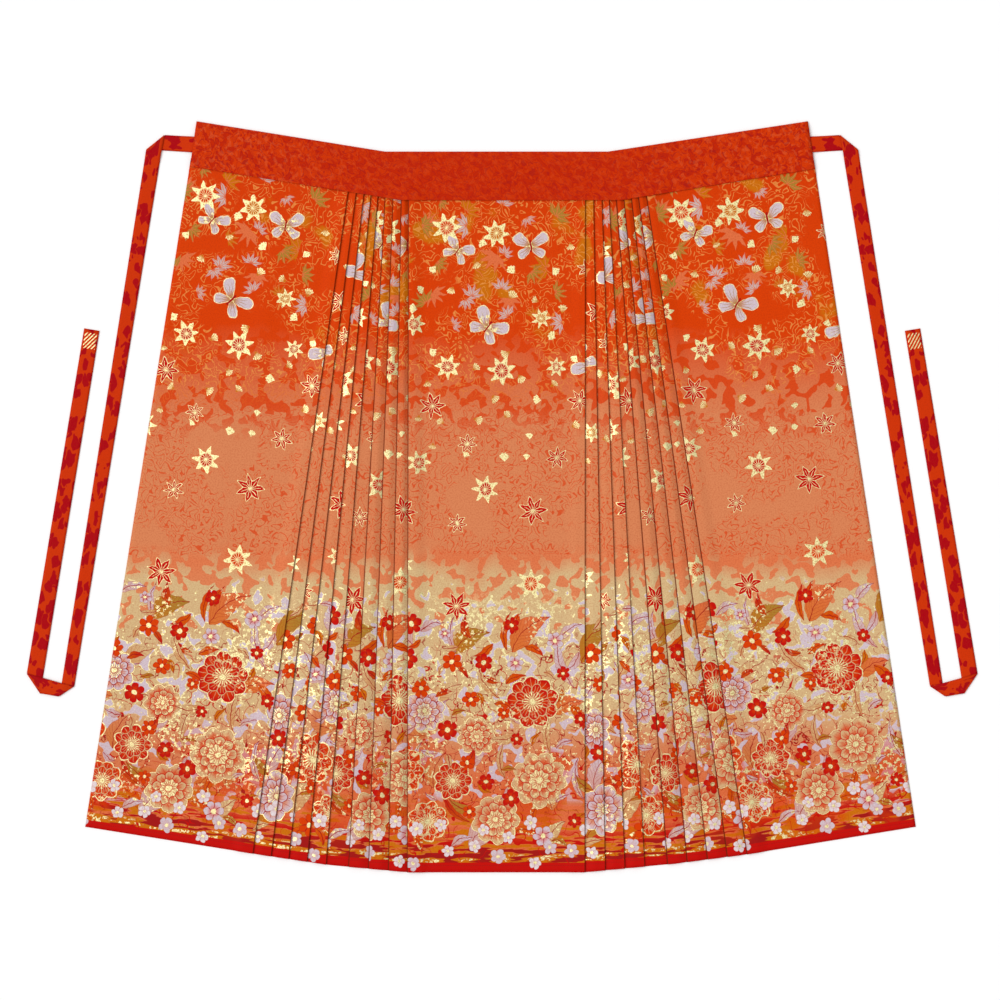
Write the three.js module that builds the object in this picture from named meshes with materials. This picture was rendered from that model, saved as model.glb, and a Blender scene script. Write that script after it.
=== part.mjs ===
// Horse-face skirt laid out flat, front up: waist towards +Y, hem towards -Y.
// Millimetres, +Z up. It lies on the surface z = 0, with the origin below the middle of its outline.
// Two pleated halves hang from one waistband. The right half's centre panel lies on the left half's.
import * as THREE from 'three';

// Cloth: every wall is one layer, and layers lie a small gap apart
const WALL = 1.0;
const LAYER_GAP = 0.3;
const PITCH = WALL + LAYER_GAP;
const FOLD_RADIUS = PITCH / 2;
const FOLD_STEPS = 3;

// How far cloth runs while it climbs or drops two layers beside a stack
const RAMP = 12;
const CLEAR = 1.5;

// Waistband: corners of its folded top edge and of its lower edge, from left to right
const BAND_CORNERS = [
  { topX: -424, topY: 521.1, lowX: -433, lowY: 458 },
  { topX: -163, topY: 479, lowX: -140, lowY: 411 },
  { topX: 147, topY: 479, lowX: 165, lowY: 411 },
  { topX: 424, topY: 521.1, lowX: 434, lowY: 455 },
];
const BAND_FRONT_CLIMB = 10;
const BAND_TUCK = 12;
const BAND_TUCK_CLIMB = 12;

// Straight lines down the skirt are given by their x at these two heights
const WAIST_LINE = 412;
const HEM_LINE = -504;
const LEFT_FREE_EDGE = { waist: -441, hem: -586 };
const RIGHT_FREE_EDGE = { waist: 441, hem: 581 };

// Pleat folds from left to right: over names the side of the fold that lies on top
const LEFT_FOLDS = [
  { waist: -215, hem: -347, over: 'left' },
  { waist: -203.5, hem: -321, over: 'left' },
  { waist: -192.5, hem: -296, over: 'left' },
  { waist: -182.5, hem: -270, over: 'left' },
  { waist: -172.5, hem: -243.5, over: 'left' },
  { waist: -162.5, hem: -212.5, over: 'right' },
  { waist: -151.5, hem: -185, over: 'right' },
  { waist: -140, hem: -157.5, over: 'right' },
  { waist: -130, hem: -131.5, over: 'right' },
];
const RIGHT_FOLDS = [
  { waist: 115.5, hem: 115, over: 'left' },
  { waist: 127, hem: 143, over: 'left' },
  { waist: 138.5, hem: 170, over: 'left' },
  { waist: 148.5, hem: 197.5, over: 'left' },
  { waist: 158.5, hem: 229, over: 'right' },
  { waist: 169, hem: 256.5, over: 'right' },
  { waist: 179.5, hem: 285, over: 'right' },
  { waist: 189.5, hem: 313, over: 'right' },
  { waist: 201, hem: 341, over: 'right' },
];
const PLEAT_DEPTH = { waist: 4.5, hem: 16 };

// Hem outline from left to right
const HEM = [
  { x: -579, y: -458 },
  { x: -347, y: -495 },
  { x: -240, y: -511 },
  { x: -131, y: -521 },
  { x: 115, y: -521 },
  { x: 240, y: -509 },
  { x: 341, y: -496 },
  { x: 574, y: -458 },
];

// Rows down a panel: below the waistband's lower edge, then as a share of the way to the hem
const PANEL_ROWS = [
  { below: -BAND_TUCK, share: 0, lift: 1 },
  { below: CLEAR, share: 0, lift: 1 },
  { below: CLEAR + RAMP, share: 0, lift: 0 },
  { below: CLEAR + RAMP, share: 1 / 3, lift: 0 },
  { below: CLEAR + RAMP, share: 2 / 3, lift: 0 },
  { below: CLEAR + RAMP, share: 1, lift: 0 },
];

// Ties: a pressed strip from inside the waistband's end to its free end, with a mitre at each corner.
// over says that the strip beyond a mitre lies on the one before it; beyond the last mitre it lies below.
const TIE_PATH = [
  { x: -415, y: 488, width: 22 },
  { x: -481.5, y: 492, width: 21.5, over: true },
  { x: -604, y: -270, width: 18, over: true },
  { x: -650.5, y: -259.5, width: 23, over: false },
  { x: -569.5, y: 232, width: 21.5, over: false },
];
const TIE_IN_BAND = 16;
const TIE_OVERLAP = 16;
const TIE_DROP = 12;

const lerp = THREE.MathUtils.lerp;

// Height of the middle of a wall on a given layer, counted from the surface
const layerHeight = (layer) => WALL / 2 + layer * PITCH;

// Value of a table's column at x, straight between its rows and carried on beyond its ends
function along(table, x, keyX, key) {
  let i = 0;
  while (i < table.length - 2 && x > table[i + 1][keyX]) i += 1;
  const share = (x - table[i][keyX]) / (table[i + 1][keyX] - table[i][keyX]);
  return lerp(table[i][key], table[i + 1][key], share);
}

const bandLowY = (x) => along(BAND_CORNERS, x, 'lowX', 'lowY');
const hemY = (x) => along(HEM, x, 'x', 'y');

// The two sides of a wall whose middle runs through the points of a flat section
function wallSides(middle) {
  const normals = middle.slice(1).map((point, i) => {
    const way = point.clone().sub(middle[i]).normalize();
    return new THREE.Vector2(-way.y, way.x);
  });
  return middle.map((point, i) => {
    const before = normals[Math.max(i - 1, 0)];
    const after = normals[Math.min(i, normals.length - 1)];
    const mitre = before.clone().add(after).multiplyScalar(WALL / 2 / (1 + before.dot(after)));
    return { upper: point.clone().add(mitre), lower: point.clone().sub(mitre) };
  });
}

// A closed wall through sections, each a list of pairs of points on the wall's two sides
function loft(sections) {
  const pairs = sections[0].length;
  const positions = sections.flatMap((section) => (
    section.flatMap(({ upper, lower }) => [...upper.toArray(), ...lower.toArray()])
  ));
  const up = (row, i) => 2 * (row * pairs + i);
  const down = (row, i) => up(row, i) + 1;
  const last = pairs - 1;
  const end = sections.length - 1;
  const quads = [];
  for (let row = 0; row < end; row += 1) {
    for (let i = 0; i < last; i += 1) {
      quads.push([up(row, i), up(row, i + 1), up(row + 1, i + 1), up(row + 1, i)]);
      quads.push([down(row, i + 1), down(row, i), down(row + 1, i), down(row + 1, i + 1)]);
    }
    quads.push([down(row, 0), up(row, 0), up(row + 1, 0), down(row + 1, 0)]);
    quads.push([up(row, last), down(row, last), down(row + 1, last), up(row + 1, last)]);
  }
  for (let i = 0; i < last; i += 1) {
    quads.push([up(0, i + 1), up(0, i), down(0, i), down(0, i + 1)]);
    quads.push([up(end, i), up(end, i + 1), down(end, i + 1), down(end, i)]);
  }
  const geometry = new THREE.BufferGeometry();
  geometry.setAttribute('position', new THREE.Float32BufferAttribute(positions, 3));
  geometry.setIndex(quads.flatMap(([a, b, c, d]) => [a, b, c, a, c, d]));
  return facingOut(geometry);
}

// The same body with its faces pointing outwards, whichever way its sections ran
function facingOut(geometry) {
  const { position } = geometry.attributes;
  const corners = [0, 1, 2].map(() => new THREE.Vector3());
  const order = Array.from(geometry.index.array);
  let volume = 0;
  for (let i = 0; i < order.length; i += 3) {
    corners.forEach((corner, k) => corner.fromBufferAttribute(position, order[i + k]));
    volume += corners[0].dot(corners[1].clone().cross(corners[2]));
  }
  if (volume < 0) order.reverse();
  geometry.setIndex(order);
  geometry.computeVertexNormals();
  return geometry;
}

// A spot on a panel's section: beside a line, by a number of pleat depths and by millimetres
const spot = (line, layer, depths = 0, extra = 0) => ({ line, layer, depths, extra });

// A half-round fold whose outer edge is at the spot; side is 1 where it bulges to +X, -1 to -X
function halfRound(line, side, fromLayer, toLayer, depths = 0, extra = 0) {
  const points = [];
  for (let i = 0; i <= FOLD_STEPS; i += 1) {
    const angle = Math.PI * (i / FOLD_STEPS - 0.5);
    const reach = FOLD_RADIUS * (Math.cos(angle) - 1) - WALL / 2;
    const layer = lerp(fromLayer, toLayer, (1 + Math.sin(angle)) / 2);
    points.push(spot(line, layer, depths, extra + side * reach));
  }
  return points;
}

// Height on the cloth of a row at x
const rowY = (row, x) => lerp(bandLowY(x) - row.below, hemY(x), row.share);

// One section of a panel: its path set out on a row, with the wall's two sides
function panelSection(path, row) {
  const middle = path.map(({ line, layer, depths, extra }) => {
    let x = 0;
    let y = 0;
    for (let pass = 0; pass < 5; pass += 1) {
      const share = (WAIST_LINE - y) / (WAIST_LINE - HEM_LINE);
      const depth = lerp(PLEAT_DEPTH.waist, PLEAT_DEPTH.hem, share);
      x = lerp(line.waist, line.hem, share) + depths * depth + extra;
      y = rowY(row, x);
    }
    return new THREE.Vector2(x, layerHeight(layer + row.lift));
  });
  const inSpace = (point) => new THREE.Vector3(point.x, rowY(row, point.x), point.y);
  return wallSides(middle).map(({ upper, lower }) => ({ upper: inSpace(upper), lower: inSpace(lower) }));
}

const panel = (path) => loft(PANEL_ROWS.map((row) => panelSection(path, row)));

// End panel: flat from its free edge, climbs on to its own turned-under edge at the fold.
// side is 1 where the fold is on the panel's right, -1 where it is on its left.
function endPanelPath(freeEdge, fold, side) {
  const path = [
    spot(freeEdge, 0),
    spot(fold, 0, -side, -side * (CLEAR + RAMP)),
    spot(fold, 2, -side, -side * CLEAR),
    ...halfRound(fold, side, 2, 1),
    spot(fold, 1, -side),
  ];
  return side > 0 ? path : path.reverse();
}

// Pleats: from beneath the first fold's turned-under edge to beneath the last one's
function pleatPath(folds) {
  const path = [];
  folds.forEach((fold, i) => {
    const isFirst = i === 0;
    const isLast = i === folds.length - 1;
    if (fold.over === 'left') {
      if (isFirst) path.push(spot(fold, 0, -1));
      else path.push(spot(fold, 2, -1), ...halfRound(fold, 1, 2, 1), ...halfRound(fold, -1, 1, 0, -1));
      if (folds[i + 1].over === 'left') path.push(spot(fold, 0));
    } else {
      if (folds[i - 1].over === 'right') path.push(spot(fold, 0));
      if (isLast) path.push(spot(fold, 0, 1));
      else path.push(...halfRound(fold, 1, 0, 1, 1), ...halfRound(fold, -1, 1, 2), spot(fold, 2, 1));
    }
  });
  return path;
}

// Centre panel of the left half: hidden, it starts at the last left fold and runs under the other one
function underPanelPath() {
  const fold = LEFT_FOLDS[LEFT_FOLDS.length - 1];
  return [
    spot(fold, 1, 1),
    ...halfRound(fold, -1, 1, 2, 0, CLEAR),
    spot(fold, 2, 1, CLEAR),
    spot(fold, 0, 1, CLEAR + RAMP),
    spot(RIGHT_FOLDS[0], 0, -1, -2 * CLEAR),
  ];
}

// Centre panel of the right half: its free edge lies on the left half, its other edge turns under
function centrePanelPath() {
  const freeEdge = LEFT_FOLDS[LEFT_FOLDS.length - 1];
  const fold = RIGHT_FOLDS[0];
  return [
    spot(freeEdge, 3),
    spot(freeEdge, 3, 1, CLEAR),
    spot(freeEdge, 1, 1, CLEAR + RAMP),
    spot(fold, 1, -1, -(CLEAR + RAMP)),
    spot(fold, 2, -1, -CLEAR),
    ...halfRound(fold, 1, 2, 1),
    spot(fold, 1, -1),
  ];
}

// Layer of the waistband's front leaf over what is tucked into it, by x on its lower edge
function bandFrontLayers() {
  const before = RAMP + PLEAT_DEPTH.waist + 3 * CLEAR;
  const leftStart = LEFT_FOLDS[0].waist - before;
  const leftEnd = LEFT_FOLDS[LEFT_FOLDS.length - 1].waist;
  const rightStart = RIGHT_FOLDS[0].waist - before;
  const rightEnd = RIGHT_FOLDS[RIGHT_FOLDS.length - 1].waist + before;
  return [
    { x: BAND_CORNERS[0].lowX, layer: 2 },
    { x: leftStart - RAMP, layer: 2 },
    { x: leftStart, layer: 4 },
    { x: leftEnd - RAMP, layer: 4 },
    { x: leftEnd - CLEAR, layer: 5 },
    { x: leftEnd + before - RAMP, layer: 5 },
    { x: leftEnd + before + RAMP, layer: 3 },
    { x: rightStart - RAMP, layer: 3 },
    { x: rightStart, layer: 4 },
    { x: rightEnd, layer: 4 },
    { x: rightEnd + RAMP, layer: 2 },
    { x: BAND_CORNERS[3].lowX, layer: 2 },
  ];
}

// Waistband: back leaf on the surface, fold along the top edge, front leaf over the tucked-in cloth
function waistband() {
  const layers = bandFrontLayers();
  const bends = BAND_CORNERS.slice(1, -1).map(({ lowX }) => ({
    x: lowX,
    layer: along(layers, lowX, 'x', 'layer'),
  }));
  const stations = [...layers, ...bends].sort((a, b) => a.x - b.x);
  return loft(stations.map(({ x, layer }) => {
    const low = new THREE.Vector3(x, bandLowY(x), 0);
    const top = new THREE.Vector3(
      along(BAND_CORNERS, x, 'lowX', 'topX'),
      along(BAND_CORNERS, x, 'lowX', 'topY'),
      0,
    );
    const height = low.distanceTo(top);
    const middle = [new THREE.Vector2(0, layerHeight(0))];
    for (let i = 0; i <= FOLD_STEPS; i += 1) {
      const angle = Math.PI * (i / FOLD_STEPS - 0.5);
      const reach = FOLD_RADIUS * (Math.cos(angle) - 1) - WALL / 2;
      middle.push(new THREE.Vector2(height + reach, layerHeight((1 + Math.sin(angle)) / 2)));
    }
    middle.push(
      new THREE.Vector2(height - BAND_FRONT_CLIMB, layerHeight(2)),
      new THREE.Vector2(BAND_TUCK + CLEAR + BAND_TUCK_CLIMB, layerHeight(2)),
      new THREE.Vector2(BAND_TUCK + CLEAR, layerHeight(layer)),
      new THREE.Vector2(0, layerHeight(layer)),
    );
    const inSpace = (point) => low.clone().lerp(top, point.x / height).setZ(point.y);
    return wallSides(middle).map(({ upper, lower }) => ({ upper: inSpace(upper), lower: inSpace(lower) }));
  }));
}

// One tie. side is -1 for the left one, and 1 for its mirror image on the right.
// The strip turns over at each mitre, so its upper side and its edges change places there.
function tie(side) {
  const corners = TIE_PATH.map(({ x, y }) => new THREE.Vector2(-side * x, y));
  const sections = [];
  let turned = 1;
  let layer = 1;
  const addSection = (middle, halfEdge, onLayer, normal) => {
    const centre = new THREE.Vector3(middle.x, middle.y, layerHeight(onLayer));
    const offset = normal.clone().multiplyScalar(WALL / 2);
    sections.push([-1, 1].map((edge) => {
      const point = centre.clone().add(new THREE.Vector3(halfEdge.x, halfEdge.y, 0).multiplyScalar(edge));
      return { upper: point.clone().add(offset), lower: point.clone().sub(offset) };
    }));
  };
  corners.slice(1).forEach((corner, i) => {
    const start = corners[i];
    const way = corner.clone().sub(start).normalize();
    const length = corner.distanceTo(start);
    const { over } = TIE_PATH[i + 1];
    const halfEdgeAt = (distance) => (
      new THREE.Vector2(-way.y, way.x)
        .multiplyScalar((turned * lerp(TIE_PATH[i].width, TIE_PATH[i + 1].width, distance / length)) / 2)
    );
    const flat = new THREE.Vector3(0, 0, turned);
    const addAcross = (distance, onLayer) => (
      addSection(start.clone().addScaledVector(way, distance), halfEdgeAt(distance), onLayer, flat)
    );
    const isLast = i === corners.length - 2;
    const nextLayer = isLast || over ? 0 : 1;
    const onStack = i === 0 ? TIE_IN_BAND : TIE_OVERLAP;
    if (i === 0) addAcross(0, layer);
    if (nextLayer !== layer) {
      addAcross(onStack, layer);
      addAcross(onStack + TIE_DROP, nextLayer);
    }
    if (isLast) {
      addAcross(length, nextLayer);
      return;
    }
    const nextWay = corners[i + 2].clone().sub(corner).normalize();
    const foldWay = way.clone().add(nextWay).normalize();
    const outward = way.clone().sub(nextWay).normalize();
    const halfEdge = halfEdgeAt(length);
    const halfFold = foldWay.multiplyScalar(halfEdge.lengthSq() / halfEdge.dot(foldWay));
    const rise = over ? 1 : -1;
    for (let step = 0; step <= FOLD_STEPS; step += 1) {
      const angle = Math.PI * (step / FOLD_STEPS - 0.5);
      const reach = FOLD_RADIUS * (Math.cos(angle) - 1) - WALL / 2;
      const middle = corner.clone().addScaledVector(outward, reach);
      const normal = new THREE.Vector3(
        rise * outward.x * Math.cos(angle),
        rise * outward.y * Math.cos(angle),
        Math.sin(angle),
      ).multiplyScalar(-turned);
      addSection(middle, halfFold, (1 + rise * Math.sin(angle)) / 2, normal);
    }
    layer = over ? 1 : 0;
    turned = -turned;
  });
  return loft(sections);
}

const ORANGE_RED = 0xcd3708;
const ORANGE = 0xe0662e;
const SALMON = 0xd78257;
const OCHRE = 0xcb7a3a;

const skirt = new THREE.Group();

function add(name, geometry, color) {
  const material = new THREE.MeshStandardMaterial({ color, roughness: 0.62, metalness: 0.05 });
  const mesh = new THREE.Mesh(geometry, material);
  mesh.name = name;
  skirt.add(mesh);
}

add('left_end_panel', panel(endPanelPath(LEFT_FREE_EDGE, LEFT_FOLDS[0], 1)), SALMON);
add('left_pleats', panel(pleatPath(LEFT_FOLDS)), ORANGE);
add('under_panel', panel(underPanelPath()), OCHRE);
add('centre_panel', panel(centrePanelPath()), SALMON);
add('right_pleats', panel(pleatPath(RIGHT_FOLDS)), ORANGE);
add('right_end_panel', panel(endPanelPath(RIGHT_FREE_EDGE, RIGHT_FOLDS[RIGHT_FOLDS.length - 1], -1)), SALMON);
add('waistband', waistband(), ORANGE_RED);
add('left_tie', tie(-1), ORANGE_RED);
add('right_tie', tie(1), ORANGE_RED);

export default skirt;
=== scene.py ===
"""Horse-face skirt laid out flat: thin cloth shells with a woven garden design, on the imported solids."""
import functools
import math

import bmesh
import bpy
import numpy as np
from bpy.props import FloatProperty, FloatVectorProperty, IntProperty, PointerProperty
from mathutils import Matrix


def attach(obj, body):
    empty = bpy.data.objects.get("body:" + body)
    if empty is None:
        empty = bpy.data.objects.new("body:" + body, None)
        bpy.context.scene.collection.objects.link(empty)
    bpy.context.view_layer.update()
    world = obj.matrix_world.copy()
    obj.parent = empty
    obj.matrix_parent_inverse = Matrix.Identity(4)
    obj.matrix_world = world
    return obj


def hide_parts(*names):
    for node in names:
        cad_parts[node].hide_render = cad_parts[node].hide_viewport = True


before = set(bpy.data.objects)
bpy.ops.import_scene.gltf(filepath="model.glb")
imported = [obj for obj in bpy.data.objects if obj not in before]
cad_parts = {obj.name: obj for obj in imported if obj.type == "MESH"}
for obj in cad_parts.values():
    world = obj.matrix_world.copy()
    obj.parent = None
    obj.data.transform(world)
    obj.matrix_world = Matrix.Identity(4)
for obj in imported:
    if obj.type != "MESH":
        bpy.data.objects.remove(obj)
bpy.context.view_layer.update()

bl_info = {
    "name": "Horse-face skirt",
    "version": (1, 0, 0),
    "blender": (4, 5, 0),
    "location": "3D View > Sidebar > Skirt",
    "description": "Lays out a pleated wrap skirt with a woven garden design, its waistband and its ties",
    "category": "Add Mesh",
}

# The layout of the solids, in metres. Straight lines down the skirt are given by their x at two heights.
WAIST_LINE = 0.412
HEM_LINE = -0.504
LEFT_FREE_EDGE = (-0.441, -0.586)
RIGHT_FREE_EDGE = (0.441, 0.581)
CENTRE_LINE = (-0.008, -0.008)

# Pleat folds from left to right: x at the waist line, x at the hem line, and the side that lies on top
LEFT_FOLDS = (
    (-0.215, -0.347, "left"),
    (-0.2035, -0.321, "left"),
    (-0.1925, -0.296, "left"),
    (-0.1825, -0.270, "left"),
    (-0.1725, -0.2435, "left"),
    (-0.1625, -0.2125, "right"),
    (-0.1515, -0.185, "right"),
    (-0.140, -0.1575, "right"),
    (-0.130, -0.1315, "right"),
)
RIGHT_FOLDS = (
    (0.1155, 0.115, "left"),
    (0.127, 0.143, "left"),
    (0.1385, 0.170, "left"),
    (0.1485, 0.1975, "left"),
    (0.1585, 0.229, "right"),
    (0.169, 0.2565, "right"),
    (0.1795, 0.285, "right"),
    (0.1895, 0.313, "right"),
    (0.201, 0.341, "right"),
)
WAIST_DEPTH = 0.0045
HEM_DEPTH = 0.016

# Hem outline, and the waistband's corners: top x, top y, lower x, lower y
HEM_X = (-0.579, -0.347, -0.240, -0.131, 0.115, 0.240, 0.341, 0.574)
HEM_Y = (-0.458, -0.495, -0.511, -0.521, -0.521, -0.509, -0.496, -0.458)
BAND_TOP = ((-0.424, 0.5211), (-0.163, 0.479), (0.147, 0.479), (0.424, 0.5211))
BAND_LOW = ((-0.433, 0.458), (-0.140, 0.411), (0.165, 0.411), (0.434, 0.455))
BAND_TUCK = 0.012

# Left tie's route, from inside the waistband's end to its free end: x, y, width, and the way that the
# strip turns at the mitre there, 1 where the next stretch lies on the one before and -1 where it lies below
TIE_ROUTE = (
    (-0.415, 0.488, 0.022, 1),
    (-0.4815, 0.492, 0.0215, 1),
    (-0.604, -0.270, 0.018, 1),
    (-0.6505, -0.2595, 0.023, -1),
    (-0.5695, 0.232, 0.0215, 1),
)
TIE_WIDTH = 0.022

# How the cloth climbs beside a stack, and small gaps
RAMP = 0.012
CLEAR = 0.0015
FOLD_STEPS = 5

# Shade along a fold's edge, and for a valley that the key light already leaves in shadow
SHADE_WIDTH = 0.0013
FOLD_SHADE = 0.16
SHADOWED_VALLEY = 0.15

# Panels: the hem as corners, and the longest way from the waistband to it
HEM = tuple(zip(HEM_X, HEM_Y))
LOWEST_HEM = min(HEM_Y)
PANEL_LENGTH = 0.92

# Waistband: where its front leaf starts to climb below the top edge, and the way between its stations
BAND_CLIMB = 0.010
BAND_STATION = 0.006

# Ties: the stretch inside the waistband, the one on which they drop to the floor, and their mesh
TIE_IN_BAND = 0.016
TIE_DROP = 0.012
TIE_STEP = 0.008
TIE_COLUMNS = 6
TIE_LENGTH = sum(math.dist(start[:2], end[:2]) for start, end in zip(TIE_ROUTE, TIE_ROUTE[1:]))

# Soft ridges in the pressed cloth: middle x and y, length, width and height, and slant in degrees
SOFT_RIDGES = (
    (-0.330, 0.250, 0.34, 0.050, 0.0011, 80),
    (-0.395, 0.050, 0.42, 0.070, 0.0009, 83),
    (-0.290, -0.080, 0.36, 0.060, 0.0012, 78),
    (-0.460, -0.230, 0.30, 0.080, 0.0010, 86),
    (-0.370, -0.330, 0.22, 0.070, 0.0008, 64),
    (-0.060, 0.230, 0.30, 0.050, 0.0009, 92),
    (0.050, 0.060, 0.38, 0.060, 0.0008, 87),
    (-0.040, -0.250, 0.34, 0.080, 0.0010, 95),
    (0.060, -0.380, 0.20, 0.060, 0.0007, 72),
    (0.310, 0.270, 0.30, 0.050, 0.0010, 101),
    (0.380, 0.090, 0.44, 0.070, 0.0009, 97),
    (0.450, -0.140, 0.32, 0.070, 0.0011, 99),
    (0.400, -0.320, 0.26, 0.080, 0.0009, 112),
    (0.000, 0.447, 0.22, 0.030, 0.0005, 4),
    (-0.300, 0.480, 0.18, 0.030, 0.0006, -12),
    (0.320, 0.484, 0.16, 0.030, 0.0005, 14),
)

# Print: its repeat along the cloth, its height, the garden's top, and where each piece starts in it
REPEAT = 0.36
PRINT_TOP = 0.95
GARDEN_TOP = 0.44
PRINT_START = {
    "left_end": 0.25,
    "left_pleats": 0.25,
    "under": 0.6,
    "centre": 0.843,
    "right_pleats": 0.966,
    "right_end": 1.45,
}

# A face knows of motifs up to this far past their rims, and one that is near none holds these values
REACH_BEYOND = 0.006
NOWHERE = (9.0, 9.0, 1.0)
NO_TURN = (100.0, 0.0, 0.0)

# Soft edges of motifs, and half the width of the lines drawn on them
SOFT_EDGE = 0.0004
CRISP_EDGE = 0.0003
HAIRLINE = 0.0003
FINE_LINE = 0.0004
DRAWN_LINE = 0.0005
PETAL_LINE = 0.0006
VINE_LINE = 0.0008
WING_EDGE = 0.0009
STAR_EDGE = 0.0012

# Weave, and the share of metal where foil lies
VEIN_PITCH = 0.0034
RIB_PITCH = 0.0010
THREAD_PITCH = 0.0007
FOIL_SHARE = 0.9
CLOTH_ROUGHNESS = 0.5
FOIL_ROUGHNESS = 0.42
HEM_STITCH = 0.0095
STITCH_PITCH = 0.0016
TIE_BARS = 0.0066

# Floor, camera and key light
FLOOR_HALF = 6.0
FLOOR_WHITE = (0.97, 0.97, 0.97)
FLOOR_DROP = 0.0004
LENS = 100.0
SENSOR = 36.0
KEY_SPREAD = 45.0
KEY_TILT = (-7.0, -36.0)


def linear_colour(red, green, blue):
    """A colour given as it is seen on a screen, from 0 to 255, as the linear colour that a shader takes."""
    return tuple(
        value / 12.92 if value <= 0.04045 else ((value + 0.055) / 1.055) ** 2.4
        for value in (red / 255, green / 255, blue / 255)
    )


def colour_property(name, description, red, green, blue):
    """A colour that a user may change."""
    return FloatVectorProperty(
        name=name,
        description=description,
        subtype="COLOR",
        min=0.0,
        max=1.0,
        default=linear_colour(red, green, blue),
    )


def length_property(name, description, default):
    """A length in metres that a user may change."""
    kind = {"subtype": "DISTANCE", "unit": "LENGTH"}
    return FloatProperty(name=name, description=description, default=default, **kind)


class SkirtCloth(bpy.types.PropertyGroup):
    """Sizes of the cloth and of its mesh."""

    wall: length_property("Cloth thickness", "Thickness of one layer of brocade", 0.0007)
    pitch: length_property("Layer pitch", "Height from one layer to the next", 0.0013)
    row: length_property("Row height", "Height of a row of faces down the skirt", 0.0052)
    column: length_property("Column width", "Widest face across a panel", 0.0046)
    pleat_print: length_property("Print per pleat", "How far the print moves on at each pleat", 0.034)
    seed: IntProperty(name="Seed", description="Chooses the places of the flowers", default=11)


class SkirtColours(bpy.types.PropertyGroup):
    """Yarn and foil colours."""

    vivid: colour_property("Vivid orange", "Field at the waist", 216, 63, 3)
    salmon: colour_property("Salmon", "Field at half height", 217, 132, 87)
    cream: colour_property("Cream", "Ground of the garden", 214, 182, 132)
    red: colour_property("Red", "Hem edge, blooms and outlines", 196, 12, 10)
    crimson: colour_property("Dark red", "Lines on blooms and leaves", 160, 22, 22)
    lavender: colour_property("Lavender", "Pale flowers and leaves", 210, 194, 202)
    ochre: colour_property("Ochre", "Leaves and ground strokes", 204, 112, 12)
    olive: colour_property("Olive gold", "Dull gold leaves", 170, 128, 48)
    foil: colour_property("Gold foil", "Pale metal yarn", 252, 240, 178)
    mist: colour_property("Mist", "Dull lavender leaves at the waist", 205, 178, 172)
    blossom: colour_property("Blossom", "Small blossoms at the hem", 228, 218, 220)
    peach: colour_property("Peach", "Loops drawn on the orange field", 236, 158, 78)
    shore: colour_property("Deep salmon", "Patches on the cream and loops on the salmon", 224, 112, 66)
    band: colour_property("Waistband", "Ground of the waistband", 194, 38, 1)
    vivid_band: colour_property("Waistband clouds", "Brighter clouds on the waistband", 214, 60, 3)
    tie: colour_property("Tie", "Ground of the ties", 206, 52, 6)
    shade: colour_property("Shade", "Shade between the threads", 166, 42, 9)
    # Painted shade: the dark colour that the cloth is given deep in its folds and beside their edges, where
    # shade falls
    painted_fold_shade: colour_property("Crease", "Cloth deep in a fold", 112, 34, 12)
    tie_patch: colour_property("Tie patches", "Dark leaves on the ties", 170, 2, 18)


class SkirtStage(bpy.types.PropertyGroup):
    """Light, floor and camera."""

    view_width: length_property("View width", "Width of the surface that the camera sees", 1.388)
    view_x: length_property("View centre x", "Middle of the view", -0.003)
    view_y: length_property("View centre y", "Middle of the view", -0.0045)
    key: FloatProperty(name="Key light", description="Strength of the soft key light", default=1.75)
    sky: FloatProperty(name="Fill light", description="Strength of the even light", default=0.60)


def sum_method(operation, reflected=False):
    """A method that adds one Math node; the reflected form takes its two values the other way round."""

    def method(self, other):
        return self.graph.math(operation, *((other, self) if reflected else (self, other)))

    return method


class Value:
    """A socket that takes part in sums: each sum, product or function adds its own Math node."""

    def __init__(self, graph, socket):
        self.graph = graph
        self.socket = socket

    __add__, __radd__ = sum_method("ADD"), sum_method("ADD", True)
    __sub__, __rsub__ = sum_method("SUBTRACT"), sum_method("SUBTRACT", True)
    __mul__, __rmul__ = sum_method("MULTIPLY"), sum_method("MULTIPLY", True)
    __truediv__, __rtruediv__ = sum_method("DIVIDE"), sum_method("DIVIDE", True)
    __pow__ = sum_method("POWER")

    def __abs__(self):
        return self.graph.math("ABSOLUTE", self)


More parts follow.
